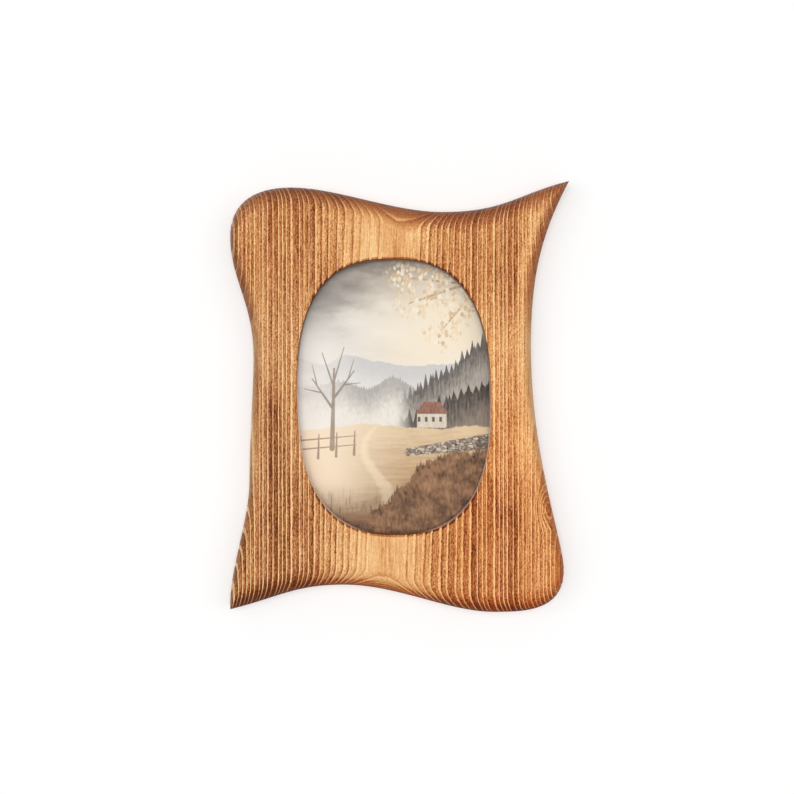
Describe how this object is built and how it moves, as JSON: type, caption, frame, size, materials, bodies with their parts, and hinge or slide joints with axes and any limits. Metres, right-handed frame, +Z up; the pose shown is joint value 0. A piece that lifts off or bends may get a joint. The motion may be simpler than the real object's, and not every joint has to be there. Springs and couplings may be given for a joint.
{
  "type": "oval picture frame",
  "caption": "Pine plank picture frame with a flowing outline of pointed and round corners, an oval glazed opening, a rear panel held by turn buttons, and a sawtooth hanger.",
  "frame": {"origin": "middle of the flat root of the sawtooth hanger's middle notch, where the frame bears on its wall nail", "axes": "+Z up along the height of the frame, -Y out of the front, +X to the right as seen from the front"},
  "size_m": [0.1694, 0.0241, 0.2154],
  "materials": {
    "brushed_pine": "scorched, wire-brushed along the grain and oiled",
    "clear_glass": "clear float glass",
    "print_paper": null,
    "grey_card": "grey pulp board",
    "hardboard": "smooth brown hardboard",
    "zinc_steel": "zinc plated",
    "brass_plate": "brass-plated sheet steel",
    "black_rubber": "matt moulded rubber"
  },
  "bodies": {
    "frame": {"frame_body": "brushed_pine", "glass_pane": "clear_glass", "picture_print": "print_paper", "filler_card": "grey_card", "back_panel": "hardboard", "turn_button_screw_upper_left": "zinc_steel", "turn_button_screw_upper_right": "zinc_steel", "turn_button_screw_lower_left": "zinc_steel", "turn_button_screw_lower_right": "zinc_steel", "sawtooth_hanger": "brass_plate", "hanger_nail_left": "zinc_steel", "hanger_nail_right": "zinc_steel", "wall_bumper_left": "black_rubber", "wall_bumper_right": "black_rubber"},
    "turn_button_upper_left": {"turn_button_upper_left": "zinc_steel"},
    "turn_button_upper_right": {"turn_button_upper_right": "zinc_steel"},
    "turn_button_lower_left": {"turn_button_lower_left": "zinc_steel"},
    "turn_button_lower_right": {"turn_button_lower_right": "zinc_steel"}
  },
  "joints": [
    {"name": "upper_left_button_turn", "type": "hinge", "parent": "frame", "child": "turn_button_upper_left", "pos_m": [-0.06, -0.00185, -0.0374], "axis": [0, 1, 0], "continuous": true},
    {"name": "upper_right_button_turn", "type": "hinge", "parent": "frame", "child": "turn_button_upper_right", "pos_m": [0.06, -0.00185, -0.0374], "axis": [0, 1, 0], "continuous": true},
    {"name": "lower_left_button_turn", "type": "hinge", "parent": "frame", "child": "turn_button_lower_left", "pos_m": [-0.06, -0.00185, -0.1274], "axis": [0, 1, 0], "continuous": true},
    {"name": "lower_right_button_turn", "type": "hinge", "parent": "frame", "child": "turn_button_lower_right", "pos_m": [0.06, -0.00185, -0.1274], "axis": [0, 1, 0], "continuous": true}
  ]
}
